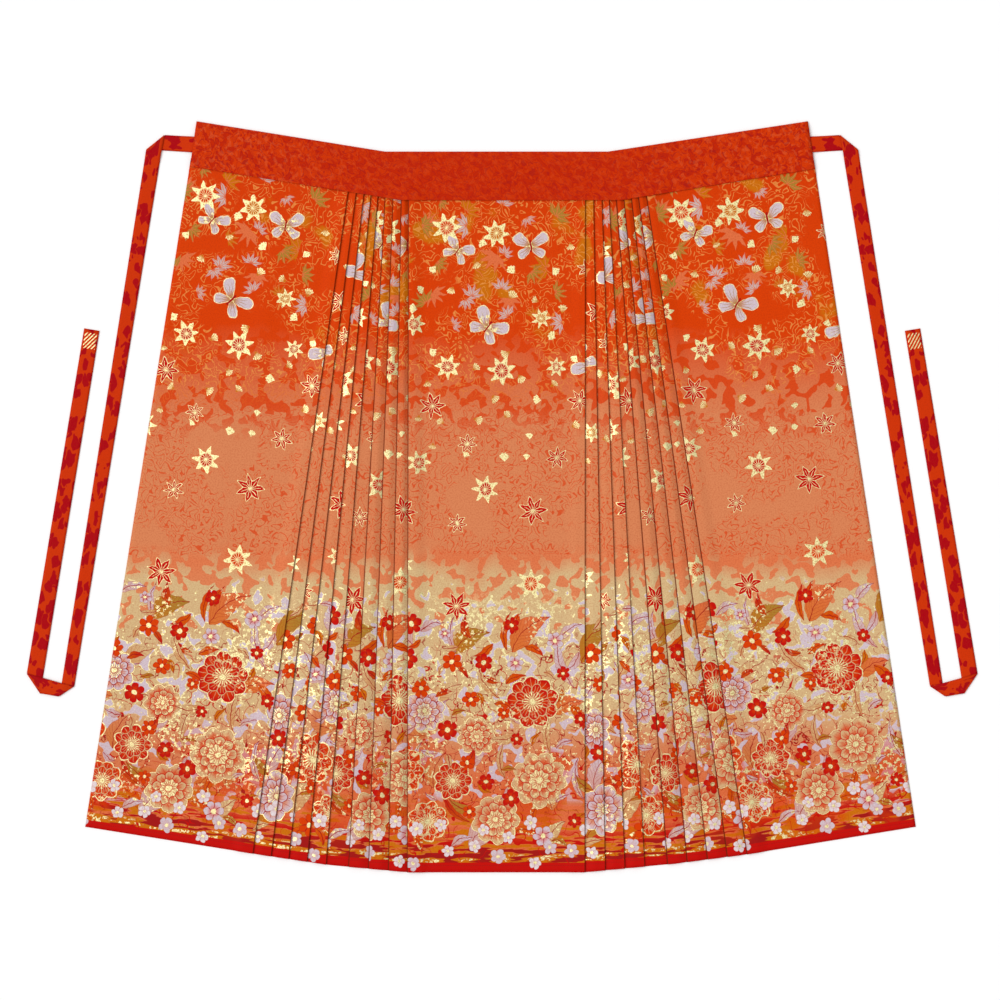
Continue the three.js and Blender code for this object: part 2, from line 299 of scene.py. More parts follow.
class Graph:
    """A material's nodes, written as Python expressions."""

    def __init__(self, name):
        self.material = bpy.data.materials.new(name)
        self.material.use_nodes = True
        self.tree = self.material.node_tree
        self.tree.nodes.clear()

    def node(self, kind, settings=None, inputs=None, output=0):
        """Adds one node: its settings first, then the values or links of its sockets."""
        made = self.tree.nodes.new(kind)
        for key, value in (settings or {}).items():
            setattr(made, key, value)
        for key, value in (inputs or {}).items():
            socket = made.inputs[key]
            if isinstance(value, Value):
                self.tree.links.new(value.socket, socket)
            elif socket.type == "RGBA":
                socket.default_value = (*value[:3], 1.0)
            else:
                socket.default_value = value
        return Value(self, made.outputs[output]) if made.outputs else None

    def math(self, operation, *values):
        return self.node("ShaderNodeMath", {"operation": operation}, dict(enumerate(values)))

    def vector_math(self, operation, *values):
        return self.node("ShaderNodeVectorMath", {"operation": operation}, dict(enumerate(values)))

    def least(self, *values):
        return functools.reduce(lambda before, value: self.math("MINIMUM", before, value), values)

    def most(self, *values):
        return functools.reduce(lambda before, value: self.math("MAXIMUM", before, value), values)

    def mix(self, factor, below, above):
        """The colour below where factor is 0, and the one above where it is 1."""
        return self.node("ShaderNodeMix", {"data_type": "RGBA"}, {0: factor, 6: below, 7: above}, 2)

    def choice(self, value, colours):
        """One of the colours, for a value from 0 to 1."""
        return self.ramp(value, [(i / len(colours), colour) for i, colour in enumerate(colours)], "CONSTANT")

    def step(self, value, low, high):
        """0 below low and 1 above high, smoothly."""
        return self.node(
            "ShaderNodeMapRange",
            {"interpolation_type": "SMOOTHSTEP", "clamp": True},
            {0: value, 1: low, 2: high},
        )

    def blend(self, factor, below, above):
        """The number below where factor is 0, and the one above where it is 1."""
        return self.node("ShaderNodeMix", {"data_type": "FLOAT"}, {0: factor, 2: below, 3: above})

    def ramp(self, value, stops, interpolation="LINEAR"):
        """A colour for a value from 0 to 1, from (place, colour) stops."""
        made = self.node("ShaderNodeValToRGB", {}, {0: value})
        made.socket.node.color_ramp.interpolation = interpolation
        elements = made.socket.node.color_ramp.elements
        while len(elements) < len(stops):
            elements.new(0.5)
        for element, (place, colour) in zip(elements, stops):
            element.position = place
            element.color = (*colour, 1.0)
        return made

    def point(self, x, y):
        return self.node("ShaderNodeCombineXYZ", {}, {0: x, 1: y})

    def parts(self, vector):
        """x, y and z of a vector."""
        made = self.node("ShaderNodeSeparateXYZ", {}, {0: vector})
        return [Value(self, output) for output in made.socket.node.outputs]

    def noise(self, place, size, detail=2.0, roughness=0.5, distortion=0.0):
        """Soft noise from 0 to 1 with features about size apart, in metres."""
        inputs = {"Vector": place, "Scale": 1.0 / size, "Detail": detail}
        inputs.update({"Roughness": roughness, "Distortion": distortion})
        return self.node("ShaderNodeTexNoise", {"noise_dimensions": "2D"}, inputs)

    def swayed(self, place, size, reach):
        """A place that drifts softly about, over stretches of about size."""
        inputs = {"Vector": place, "Scale": 1.0 / size, "Detail": 1.0}
        drift = self.node("ShaderNodeTexNoise", {"noise_dimensions": "2D"}, inputs, 1)
        return self.vector_math("MULTIPLY_ADD", drift, (2 * reach, 2 * reach, 0.0), place)

    def cells(self, place, size):
        """Cells about size apart: the way to a cell's middle, in metres, and the cell's own chance."""
        settings = {"voronoi_dimensions": "2D", "feature": "F1"}
        made = self.node("ShaderNodeTexVoronoi", settings, {"Vector": place, "Scale": 1.0 / size})
        return made * size, self.parts(Value(self, made.socket.node.outputs["Color"]))[0]

    def cell_edges(self, place, size):
        """The way to the nearest edge between cells about size apart, in metres."""
        settings = {"voronoi_dimensions": "2D", "feature": "DISTANCE_TO_EDGE"}
        return self.node("ShaderNodeTexVoronoi", settings, {"Vector": place, "Scale": 1.0 / size}) * size

    def squiggles(self, place, size):
        """1 on thin lines that wind about and close in loops of about size."""
        field = self.noise(place, size, 1.0, 0.5, 0.4)
        return self.step(self.math("PINGPONG", field, 0.1), 0.028, 0.014)

    def line(self, distance, half_width):
        """1 where distance, in metres, is under half a line's width, with a soft edge."""
        return self.step(abs(distance), half_width * 1.4, half_width * 0.6)

    def between(self, value, low, high, soft):
        """1 from low to high, with soft ends."""
        return self.step(value, low - soft, low + soft) * self.step(value, high + soft, high - soft)

    def finish(self, colour, metallic, roughness, normal, **constants):
        """The surface: what varies is linked, and what is the same all over is set on the shader."""
        inputs = {"Base Color": colour, "Metallic": metallic, "Roughness": roughness, "Normal": normal}
        inputs.update({key.replace("_", " "): value for key, value in constants.items()})
        surface = self.node("ShaderNodeBsdfPrincipled", {}, inputs)
        self.node("ShaderNodeOutputMaterial", {}, {"Surface": surface})
        return self.material


# Mesh


def smooth(share):
    """0 to 1 with a level start and end."""
    return share * share * (3 - 2 * share)


def line_x(line, share):
    """x on a straight line down the skirt, by the share of the way from the waist line to the hem line."""
    return line[0] + (line[1] - line[0]) * share


def along(corners, x):
    """y of a row of corners at x, carried on beyond both ends."""
    xs, ys = np.array(corners).T
    i = np.clip(np.searchsorted(xs, x) - 1, 0, len(xs) - 2)
    return ys[i] + (ys[i + 1] - ys[i]) * (x - xs[i]) / (xs[i + 1] - xs[i])


class Spot:
    """A spot on a panel's section: beside a line, on a layer, with its shade and its place in the print."""

    def __init__(self, line, layer, depths=0.0, extra=0.0, shade=0.0, anchor=None, start=0.0, way=1.0):
        self.line = line
        self.layer = layer
        self.depths = depths
        self.extra = extra
        self.shade = shade
        self.anchor = anchor or line
        self.start = start
        self.way = way

    def down(self, rows, cloth):
        """The spot's places in space and in the print, for all rows down the skirt."""
        lift = rows[:, 2]
        x = y = np.zeros(len(rows))
        # x and y depend on each other, and settle in a few rounds
        for _ in range(5):
            fall = (WAIST_LINE - y) / (WAIST_LINE - HEM_LINE)
            depth = WAIST_DEPTH + (HEM_DEPTH - WAIST_DEPTH) * fall
            x = line_x(self.line, fall) + self.depths * depth + self.extra
            y = row_y(rows, x)
        z = cloth.wall / 2 + (self.layer + lift) * cloth.pitch
        # Painted shade: the darker of the spot's own and its row's
        shade = np.maximum(self.shade, rows[:, 3])
        rise = np.array([self.anchor[0] - self.anchor[1], WAIST_LINE - HEM_LINE])
        rise /= np.linalg.norm(rise)
        foot = np.array([self.anchor[1], HEM_LINE]) + rise * (along(HEM, self.anchor[1]) - HEM_LINE) / rise[1]
        offset = np.stack([x, y], axis=1) - foot
        across = offset[:, 0] * rise[1] - offset[:, 1] * rise[0]
        return np.stack([x, y, z, shade, self.start + self.way * across, offset @ rise], axis=1)


def half_round(line, side, from_layer, to_layer, cloth, depths=0.0, extra=0.0, **place):
    """A half-round fold whose outer edge is where the solid's is; side is 1 where it bulges to +X."""
    spots = []
    radius = cloth.pitch / 2
    for i in range(FOLD_STEPS + 1):
        angle = math.pi * (i / FOLD_STEPS - 0.5)
        reach = radius * (math.cos(angle) - 1) - cloth.wall / 2
        layer = from_layer + (to_layer - from_layer) * (1 + math.sin(angle)) / 2
        way = place.get("way", 1.0) if i <= FOLD_STEPS / 2 else -place.get("way", 1.0)
        # Painted shade on the fold's round: light where it meets the flat layers, full where it turns under
        # between them
        shade = FOLD_SHADE if layer in (from_layer, to_layer) else 1.0
        spots.append(Spot(line, layer, depths, extra + side * reach, shade, **{**place, "way": way}))
    return spots


def row_y(rows, x):
    """Height on the cloth of rows at x."""
    top = along(BAND_LOW, x) - rows[:, 0]
    return top + (along(HEM, x) - top) * rows[:, 1]


def panel_rows(cloth):
    """Rows down a panel: how far below the waistband, the share of the way to the hem, lift and shade."""
    # Painted shade in the last column: full where the panel lies tucked in the waistband, light where it comes
    # out below the band's edge
    rows = [(-BAND_TUCK, 0.0, 1.0, 1.0), (-BAND_TUCK / 2, 0.0, 1.0, 1.0), (0.0, 0.0, 1.0, FOLD_SHADE)]
    rows += [(CLEAR + RAMP * share, 0.0, 1.0 - smooth(share), 0.0) for share in (0.1, 0.3, 0.5, 0.75)]
    count = math.ceil(PANEL_LENGTH / cloth.row)
    rows += [(CLEAR + RAMP, i / count, 0.0, 0.0) for i in range(count + 1)]
    return np.array(rows)


def soft_lift(x, y):
    """How far the cloth stands off the flat: the soft ridges that pressing left in it."""
    lift = np.zeros_like(x)
    for middle_x, middle_y, length, width, height, slant in SOFT_RIDGES:
        dx, dy = x - middle_x, y - middle_y
        cosine, sine = math.cos(math.radians(slant)), math.sin(math.radians(slant))
        run, off = (dx * cosine + dy * sine) / (length / 2), (dy * cosine - dx * sine) / (width / 2)
        lift += height * np.exp(-off * off * 2) * np.clip(1 - run * run, 0, 1) ** 2
    return lift


def panel_grid(spots, cloth):
    """A panel's grid from the waistband to the hem: x, y, z, shade, and its place in the print."""
    rows = panel_rows(cloth)
    lines = [spot.down(rows, cloth) for spot in spots]
    columns = [lines[0]]
    for before, after in zip(lines, lines[1:]):
        count = max(1, math.ceil(abs(after[-1, 0] - before[-1, 0]) / cloth.column))
        for i in range(1, count + 1):
            column = before + (after - before) * i / count
            column[:, 1] = row_y(rows, column[:, 0])
            columns.append(column)
    return np.stack(columns, axis=1)


def cloth_object(name, grid_values, wall, *weaves):
    """A sheet of cloth: a grid laid on its x, y, z, shade and place in the print, then given its wall.
    Where it has two weaves, the second one is above the garden's top."""
    rows, columns = grid_values.shape[:2]
    grid_values[:, :, 2] += soft_lift(grid_values[:, :, 0], grid_values[:, :, 1])
    bm = bmesh.new()
    layer = bm.loops.layers.uv.new("print")
    # The fold attribute holds painted shade: how far each point's colour is darkened in and beside folds
    fold = bm.verts.layers.float.new("fold")
    bmesh.ops.create_grid(bm, x_segments=columns - 1, y_segments=rows - 1, size=0.5)
    grid = {}
    for vert in bm.verts:
        grid[vert] = (
            round((0.5 - vert.co.y) * (rows - 1)),
            round((vert.co.x + 0.5) * (columns - 1)),
        )
    for face in bm.faces:
        face.smooth = True
        for loop in face.loops:
            loop[layer].uv = grid_values[grid[loop.vert]][4:]
    for vert in bm.verts:
        vert.co = grid_values[grid[vert]][:3]
        vert[fold] = grid_values[grid[vert]][3]
    bmesh.ops.recalc_face_normals(bm, faces=bm.faces)
    for face in bm.faces:
        if len(weaves) > 1 and face.calc_center_median().y - LOWEST_HEM > GARDEN_TOP:
            face.material_index = 1
    mesh = bpy.data.meshes.new(name)
    bm.to_mesh(mesh)
    bm.free()
    if len(weaves) > 1:
        print_motifs(mesh, bpy.context.scene.skirt_cloth.seed)
    for weave in weaves:
        mesh.materials.append(finish_named(weave))
    sheet = bpy.data.objects.new(name, mesh)
    bpy.context.scene.collection.objects.link(sheet)
    thickness = sheet.modifiers.new("Thickness", "SOLIDIFY")
    thickness.thickness = wall
    thickness.offset = 0.0
    thickness.use_even_offset = True
    thickness.use_rim = True
    return sheet


def pleat_spots(folds, cloth, print_start):
    """The pleated stretch, from beneath the first fold's turned-under edge to beneath the last one's."""
    spots = []
    last = len(folds) - 1

    def place(strip, anchor, way=1.0):
        return {"anchor": anchor, "start": print_start + strip * cloth.pleat_print, "way": way}

    for i, fold in enumerate(folds):
        if fold[2] == "left":
            if i > 0:
                own = place(i, fold)
                spots += [Spot(fold, 2, -1, **own), Spot(fold, 2, 0, -SHADE_WIDTH, **own)]
                spots += half_round(fold, 1, 2, 1, cloth, **own)
                spots += half_round(fold, -1, 1, 0, cloth, depths=-1, **place(i, fold, -1.0))
            follower = folds[i + 1]
            after = place(i + 1, follower if follower[2] == "left" else fold)
            # Painted shade in the valley right of a fold that lies on its left neighbour: full where hidden,
            # lighter where it shows, fading over SHADE_WIDTH
            spots.append(Spot(fold, 0, -1 if i == 0 else -0.6, 0.0, 1.0, **after))
            spots += [Spot(fold, 0, 0, 0.0, SHADOWED_VALLEY, **after), Spot(fold, 0, 0, SHADE_WIDTH, **after)]
        else:
            before = place(i, folds[i - 1])
            # Painted shade in the valley left of a fold that lies on its right neighbour, fading in over
            # SHADE_WIDTH
            spots += [Spot(fold, 0, 0, -SHADE_WIDTH, **before), Spot(fold, 0, 0, 0.0, 1.0, **before)]
            if i == last:
                spots.append(Spot(fold, 0, 1, 0.0, 1.0, **before))
            else:
                own = place(i + 1, fold)
                spots += half_round(fold, 1, 0, 1, cloth, depths=1, **before)
                spots += half_round(fold, -1, 1, 2, cloth, **place(i + 1, fold, -1.0))
                spots += [Spot(fold, 2, 0, SHADE_WIDTH, **own), Spot(fold, 2, 1, **own)]
    return spots


def end_panel_spots(free_edge, fold, side, cloth, print_start):
    """End panel: flat from its free edge, then over its own turned-under edge; side is that of the fold."""
    place = {"anchor": fold, "start": print_start}
    spots = [
        Spot(free_edge, 0, **place),
        Spot(fold, 0, -side, -side * (CLEAR + RAMP), **place),
        Spot(fold, 2, -side, -side * CLEAR, **place),
        Spot(fold, 2, 0, -side * SHADE_WIDTH, **place),
        *half_round(fold, side, 2, 1, cloth, **place),
        Spot(fold, 1, -side, **{**place, "way": -1.0}),
    ]
    return spots if side > 0 else spots[::-1]


def under_panel_spots(cloth, print_start):
    """The left half's centre panel, which the other one hides."""
    fold = LEFT_FOLDS[-1]
    place = {"anchor": fold, "start": print_start}
    return [
        Spot(fold, 1, 1, **{**place, "way": -1.0}),
        *half_round(fold, -1, 1, 2, cloth, extra=CLEAR, **{**place, "way": -1.0}),
        Spot(fold, 2, 1, CLEAR, **place),
        Spot(fold, 0, 1, CLEAR + RAMP, **place),
        Spot(RIGHT_FOLDS[0], 0, -1, -2 * CLEAR, **place),
    ]


def centre_panel_spots(cloth, print_start):
    """The right half's centre panel, with its free edge on the left half."""
    edge, fold = LEFT_FOLDS[-1], RIGHT_FOLDS[0]
    place = {"anchor": CENTRE_LINE, "start": print_start}
    return [
        # Painted shade along the free edge, where it lies on the left pleats, fading over SHADE_WIDTH
        Spot(edge, 3, 0, 0.0, 1.0, **place),
        Spot(edge, 3, 0, SHADE_WIDTH, **place),
        Spot(edge, 3, 1, CLEAR, **place),
        Spot(edge, 1, 1, CLEAR + RAMP, **place),
        Spot(fold, 1, -1, -(CLEAR + RAMP), **place),
        Spot(fold, 2, -1, -CLEAR, **place),
        Spot(fold, 2, 0, -SHADE_WIDTH, **place),
        *half_round(fold, 1, 2, 1, cloth, **place),
        Spot(fold, 1, -1, **{**place, "way": -1.0}),
    ]


def band_front_layers():
    """Layer of the waistband's front leaf over what is tucked into it, by x on its lower edge."""
    before = RAMP + WAIST_DEPTH + 3 * CLEAR
    left_start, left_end = LEFT_FOLDS[0][0] - before, LEFT_FOLDS[-1][0]
    right_start, right_end = RIGHT_FOLDS[0][0] - before, RIGHT_FOLDS[-1][0] + before
    return (
        (BAND_LOW[0][0], 2),
        (left_start - RAMP, 2),
        (left_start, 4),
        (left_end - RAMP, 4),
        (left_end - CLEAR, 5),
        (left_end + before - RAMP, 5),
        (left_end + before + RAMP, 3),
        (right_start - RAMP, 3),
        (right_start, 4),
        (right_end, 4),
        (right_end + RAMP, 2),
        (BAND_LOW[3][0], 2),
    )


def waistband_grid(cloth):
    """Back leaf on the surface, the fold along the top edge, and the front leaf over the tucked cloth."""
    layers = band_front_layers()
    first, last = BAND_LOW[0][0], BAND_LOW[-1][0]
    stations = np.linspace(first, last, math.ceil((last - first) / BAND_STATION) + 1)
    radius = cloth.pitch / 2
    over = BAND_TUCK + CLEAR
    grid = []
    for x in stations:
        low = np.array([x, along(BAND_LOW, x)])
        low_xs = [corner[0] for corner in BAND_LOW]
        top = np.array([np.interp(x, low_xs, [corner[k] for corner in BAND_TOP]) for k in (0, 1)])
        height = np.linalg.norm(top - low)
        front = along(layers, x)
        path = [(share * (height - radius - cloth.wall / 2), 0.0) for share in np.linspace(0, 1, 8)[:-1]]
        for i in range(FOLD_STEPS + 1):
            angle = math.pi * (i / FOLD_STEPS - 0.5)
            path.append((height + radius * (math.cos(angle) - 1) - cloth.wall / 2, (1 + math.sin(angle)) / 2))
        climb_from, climb_to = height - radius - cloth.wall / 2, height - BAND_CLIMB
        for share in (0.25, 0.5, 0.75, 1.0):
            path.append((climb_from + (climb_to - climb_from) * share, 1 + smooth(share)))
        level = np.linspace(height - BAND_CLIMB, over + BAND_TUCK, 6)[1:]
        path += [(place, 2.0) for place in level]
        for share in (0.25, 0.5, 0.75, 1.0):
            path.append((over + BAND_TUCK * (1 - share), 2 + (front - 2) * smooth(share)))
        path += [(over * share, front) for share in (0.6, 0.25, 0.08, 0.0)]
        row, run, before = [], 0.0, path[0]
        for place, layer in path:
            spot = low + (top - low) * place / height
            z = cloth.wall / 2 + layer * cloth.pitch
            run += math.hypot(place - before[0], (layer - before[1]) * cloth.pitch)
            before = (place, layer)
            # Painted shade along the top fold
            shade = FOLD_SHADE * (abs(place - height) < SHADE_WIDTH / 2)
            row.append((spot[0], spot[1], z, shade, x, run))
        grid.append(row)
    return np.array(grid)


def tie_grid(side, cloth):
    """A pressed strip that turns over at each mitre. side is -1 for the left one, 1 for its mirror image."""
    corners = [np.array([-side * x, y]) for x, y, _, _ in TIE_ROUTE]
    widths = [width for _, _, width, _ in TIE_ROUTE]
    sections = []
    turned = 1
    own_layer = 1
    run = 0.0
    radius = cloth.pitch / 2

    def add(middle, half, layer, distance, shade=0.0):
        z = cloth.wall / 2 + layer * cloth.pitch
        shares = np.linspace(-1, 1, TIE_COLUMNS + 1)
        across = [(middle + half * share, share * TIE_WIDTH / 2) for share in shares]
        sections.append([(x, y, z, shade, u, distance) for (x, y), u in across])

    for i, (start, corner) in enumerate(zip(corners, corners[1:])):
        length = math.dist(start, corner)
        way = (corner - start) / length
        edge_way = np.array([-way[1], way[0]]) * turned / 2
        rise = TIE_ROUTE[i + 1][3]
        last = i == len(corners) - 2
        reach = 0.0
        if not last:
            next_way = (corners[i + 2] - corner) / math.dist(corners[i + 2], corner)
            fold_way = (way + next_way) / np.linalg.norm(way + next_way)
            outward = (way - next_way) / np.linalg.norm(way - next_way)
            across = edge_way * widths[i + 1]
            half_fold = fold_way * (across @ across) / (across @ fold_way)
            reach = abs(half_fold @ way) + cloth.pitch
        begin = reach_before if i else 0.0
        stretch = np.linspace(begin, length - reach, math.ceil((length - reach - begin) / TIE_STEP) + 1)
        next_layer = 0 if last or rise > 0 else 1
        for distance in stretch:
            drop = smooth(float(np.clip((distance - TIE_IN_BAND) / TIE_DROP, 0, 1)))
            half = edge_way * (widths[i] + (widths[i + 1] - widths[i]) * distance / length)
            add(start + way * distance, half, own_layer + (next_layer - own_layer) * drop, run + distance)
        run += length
        if last:
            break
        for step in range(FOLD_STEPS + 1):
            angle = math.pi * (step / FOLD_STEPS - 0.5)
            bulge = radius * (math.cos(angle) - 1) - cloth.wall / 2
            # Painted shade on the round of each mitre
            add(corner + outward * bulge, half_fold, (1 + rise * math.sin(angle)) / 2, run, FOLD_SHADE)
        own_layer = 1 if rise > 0 else 0
        reach_before = reach
        turned = -turned
    return np.array(sections)


# Print


class Growth:
    """Where a kind of motif grows: heights above the hem, radii, gap from rim to rim, tilts, the stretch
    of the repeat, and the kinds whose middles it keeps clear of."""

    def __init__(self, low, high, radius, gap, tilt=(0, 360), across=(0, 1), clear_of=(), tries=1000):
        self.low = low
        self.high = high
        self.radius = radius
        self.gap = gap
        self.tilt = tilt
        self.across = across
        self.clear_of = clear_of
        self.tries = tries


MOTIFS = {
    "butterfly": Growth(0.70, 0.88, (0.023, 0.030), 0.05, tilt=(30, 150), tries=90),
    "star": Growth(0.37, 0.90, (0.014, 0.023), 0.018, clear_of=("butterfly",), tries=120),
    "spray_back": Growth(0.79, 0.945, (0.018, 0.027), 0.009, across=(-0.05, 0.55), clear_of=("butterfly",)),
    "spray": Growth(0.76, 0.94, (0.014, 0.024), 0.002, across=(-0.05, 0.6), clear_of=("butterfly",)),
    "fan_leaf": Growth(0.56, 0.88, (0.0060, 0.0090), 0.014, clear_of=("butterfly", "star"), tries=110),
    "leaf_back": Growth(0.05, 0.34, (0.024, 0.042), 0.007, tilt=(20, 160), tries=5000),
    "blade": Growth(0.09, 0.34, (0.026, 0.045), 0.007, tilt=(45, 135), tries=4000),
    "bloom_large": Growth(0.07, 0.25, (0.027, 0.045), 0.008, tries=3000),
    "leaf": Growth(0.04, 0.36, (0.011, 0.021), 0.005, clear_of=("bloom_large",), tries=3000),
    "bloom_small": Growth(0.05, 0.35, (0.009, 0.016), 0.014, clear_of=("bloom_large",), tries=160),
    "blossom": Growth(0.014, 0.075, (0.0085, 0.0112), 0.008, clear_of=("bloom_small",), tries=90),
}


@functools.cache
def scattered(seed):
    """Places of every kind of motif on one repeat of the cloth: across, up, radius, turn and kind."""
    motifs = {}
    for name, growth in MOTIFS.items():
        chance = np.random.default_rng([seed, *name.encode()])
        others = np.concatenate([motifs[other] for other in growth.clear_of] or [np.empty((0, 5))])
        kept = np.empty((0, 5))
        for _ in range(growth.tries):
            u, v = chance.uniform(*growth.across) % 1 * REPEAT, chance.uniform(growth.low, growth.high)
            radius = chance.uniform(*growth.radius)
            turn, kind = math.radians(chance.uniform(*growth.tilt)), chance.uniform()
            if (
                (apart(kept, u, v) > kept[:, 2] + radius + growth.gap).all()
                and (apart(others, u, v) > others[:, 2] * 0.75 + radius * 0.6).all()
            ):
                kept = np.vstack([kept, (u, v, radius, turn, kind)])
        motifs[name] = kept
    return motifs


def apart(motifs, u, v):
    """Distance of each motif from a place on the repeat, which goes on past its edges."""
    across = np.abs(motifs[:, 0] - u)
    return np.hypot(np.minimum(across, REPEAT - across), motifs[:, 1] - v)


def print_motifs(mesh, seed):
    """Gives each face the motif of each kind that it shows, as its place, and as its turn and kind."""
    corners = np.empty(len(mesh.loops) * 2)
    mesh.uv_layers["print"].data.foreach_get("uv", corners)
    middles = corners.reshape(-1, 4, 2).mean(axis=1)
    first = math.floor(middles[:, 0].min() / REPEAT) - 1
    last = math.ceil(middles[:, 0].max() / REPEAT) + 1
    for name, motifs in scattered(seed).items():
        places = np.tile(NOWHERE, (len(middles), 1))
        turns = np.tile(NO_TURN, (len(middles), 1))
        best = np.full(len(middles), REACH_BEYOND)
        for u, v, radius, turn, kind in motifs:
            for shift in range(first, last + 1):
                centre = (u + shift * REPEAT, v)
                beyond = np.hypot(middles[:, 0] - centre[0], middles[:, 1] - centre[1]) - radius
                near = beyond < best
                best[near] = beyond[near]
                places[near] = (*centre, radius)
                turns[near] = (math.cos(turn) / radius, math.sin(turn) / radius, kind)
        for part, values in (("place", places), ("turn", turns)):
            attribute = mesh.attributes.new(f"{name}_{part}", "FLOAT_VECTOR", "FACE")
            attribute.data.foreach_set("vector", values.astype(np.float32).ravel())


class Design:
    """A figured weave: motifs are laid one over another on its colour and its share of foil."""

    def __init__(self, name):
        self.graph = Graph(name)
        self.place = self.graph.node("ShaderNodeUVMap", {"uv_map": "print"})
        self.u, self.v, _ = self.graph.parts(self.place)
        self.drawn = self.u, self.v
        self.yarn = bpy.context.scene.skirt_colours
        self.colour = tuple(self.yarn.vivid)
        self.foil = 0.0
        self.sparks = 0.0
        self.grain = self.graph.noise(self.place, 0.0021, 2.0, 0.6)

    def cover(self, mask, colour, foil=0.0):
        """Lays a colour, and foil where it has any, over what is there."""
        self.colour = self.graph.mix(mask, self.colour, colour)
        self.foil = self.graph.blend(mask, self.foil, foil)

    def gild(self, mask):
        """Lays foil over what is there."""
        self.cover(mask, self.yarn.foil, FOIL_SHARE)

    def stamped(self, name):
        """A motif's own x and y, from -1 to 1 inside its rim, with its radius in metres and its kind."""
        graph = self.graph
        place = graph.node("ShaderNodeAttribute", {"attribute_name": f"{name}_place"}, {}, 1)
        turn = graph.node("ShaderNodeAttribute", {"attribute_name": f"{name}_turn"}, {}, 1)
        centre_u, centre_v, radius = graph.parts(place)
        cosine, sine, kind = graph.parts(turn)
        du, dv = self.drawn[0] - centre_u, self.drawn[1] - centre_v
        return du * cosine + dv * sine, dv * cosine - du * sine, radius, kind

    def petals(self, x, y, count):
        """Distance from the middle, and two waves: 1 on the middles of the petals, and 1 between them."""
        graph = self.graph
        out = graph.math("SQRT", x * x + y * y)
        half = graph.math("ARCTAN2", y, x) * (count / 2)
        return out, abs(graph.math("COSINE", half)), abs(graph.math("SINE", half))

    def leaf(self, name, fills, slim):
        """Pointed leaf with a midrib, slanted side veins and a drawn edge."""
        graph = self.graph
        x, y, radius, kind = self.stamped(name)
        across = abs(y + 0.28 * x * x - 0.12)
        inside = (slim * (1 - x * x) * (1.3 - 0.55 * x) - across) * radius
        body = graph.step(inside, 0.0, SOFT_EDGE)
        veins = graph.math("PINGPONG", (x - across * 1.3) * radius, VEIN_PITCH) + 0.0003
        drawn = graph.least(inside, across * radius, veins)
        self.cover(body, graph.choice(kind, fills))
        self.cover(body * graph.step(x, 0.9, -0.8) * 0.45, self.yarn.ochre)
        self.gild(body * self.sparks)
        self.cover(body * graph.line(drawn, DRAWN_LINE), self.yarn.crimson)

    def bloom(self, name, count, outer, deep, lines):
        """Open flower of three rings of petals round a foil heart."""
        graph = self.graph
        x, y, radius, kind = self.stamped(name)
        out, on_petal, between = self.petals(x, y, count)
        rim = 0.80 + 0.17 * on_petal - out
        ring = 0.55 + 0.13 * between - out
        heart = 0.30 + 0.09 * on_petal - out
        body = graph.step(rim * radius, 0.0, SOFT_EDGE)
        in_ring = graph.step(ring, 0.0, 0.02)
        in_heart = graph.step(heart, 0.0, 0.02)
        depth = graph.blend(in_ring, rim, graph.blend(in_heart, ring, heart))
        parting = graph.blend(in_ring, on_petal, between) * out * radius * (2 / count)
        drawn = graph.least(abs(rim), abs(ring), abs(heart)) * radius
        angle = graph.math("ARCTAN2", y, x)
        stamens = abs(graph.math("SINE", angle * count))
        streaks = abs(graph.math("SINE", angle * (count * 1.5))) * out * radius / (count * 1.5)
        self.gild(graph.step(rim * radius, -0.0013, -0.0010))
        self.cover(body, graph.choice(kind, outer))
        self.cover(body * graph.step(depth, 0.02, 0.34) * 0.85, graph.choice(kind, deep))
        streaked = body * graph.line(streaks, FINE_LINE) * graph.step(depth, 0.04, 0.12) * 0.6
        self.cover(streaked, graph.choice(kind, lines))
        self.gild(body * self.sparks * 0.8)
        self.cover(body * graph.line(graph.least(drawn, parting), PETAL_LINE), graph.choice(kind, lines))
        self.gild(in_heart * graph.step(stamens, 0.75, 0.5) * graph.step(out, 0.1, 0.2))
        self.gild(graph.step(out, 0.13, 0.10))

    def star(self, name, count):
        """Star flower of pointed petals, drawn in foil."""
        graph = self.graph
        x, y, radius, kind = self.stamped(name)
        out, on_petal, between = self.petals(x, y, count)
        inside = (0.97 - 0.46 * between ** 1.15 - out) * radius * 0.7
        body = graph.step(inside, 0.0, CRISP_EDGE)
        ribs = graph.least(between, on_petal) * out * radius * (2 / count)
        self.cover(body, graph.choice(kind, [self.yarn.red, self.yarn.ochre, self.yarn.red, self.yarn.vivid]))
        self.gild(body * graph.step(out, 0.34, 0.50) * graph.step(kind, 0.3, 0.32))
        self.gild(body * graph.line(inside, STAR_EDGE))
        self.gild(body * graph.line(ribs, HAIRLINE) * graph.step(out, 0.66, 0.56))

    def spray(self, name, count, fills):
        """Narrow leaves that fan out on one side of a point."""
        graph = self.graph
        x, y, radius, kind = self.stamped(name)
        out, _, between = self.petals(x, y, count)
        across = between * out * (2 / count)
        inside = (0.40 * out * (1.0 - out) - across) * radius
        body = graph.step(inside, 0.0, SOFT_EDGE) * graph.step(x, -0.01, 0.03)
        self.cover(body, graph.choice(kind, fills))
        self.cover(body * graph.line(across * radius, FINE_LINE), self.yarn.shore)
        self.cover(body * graph.line(inside, HAIRLINE) * 0.6, self.yarn.crimson)

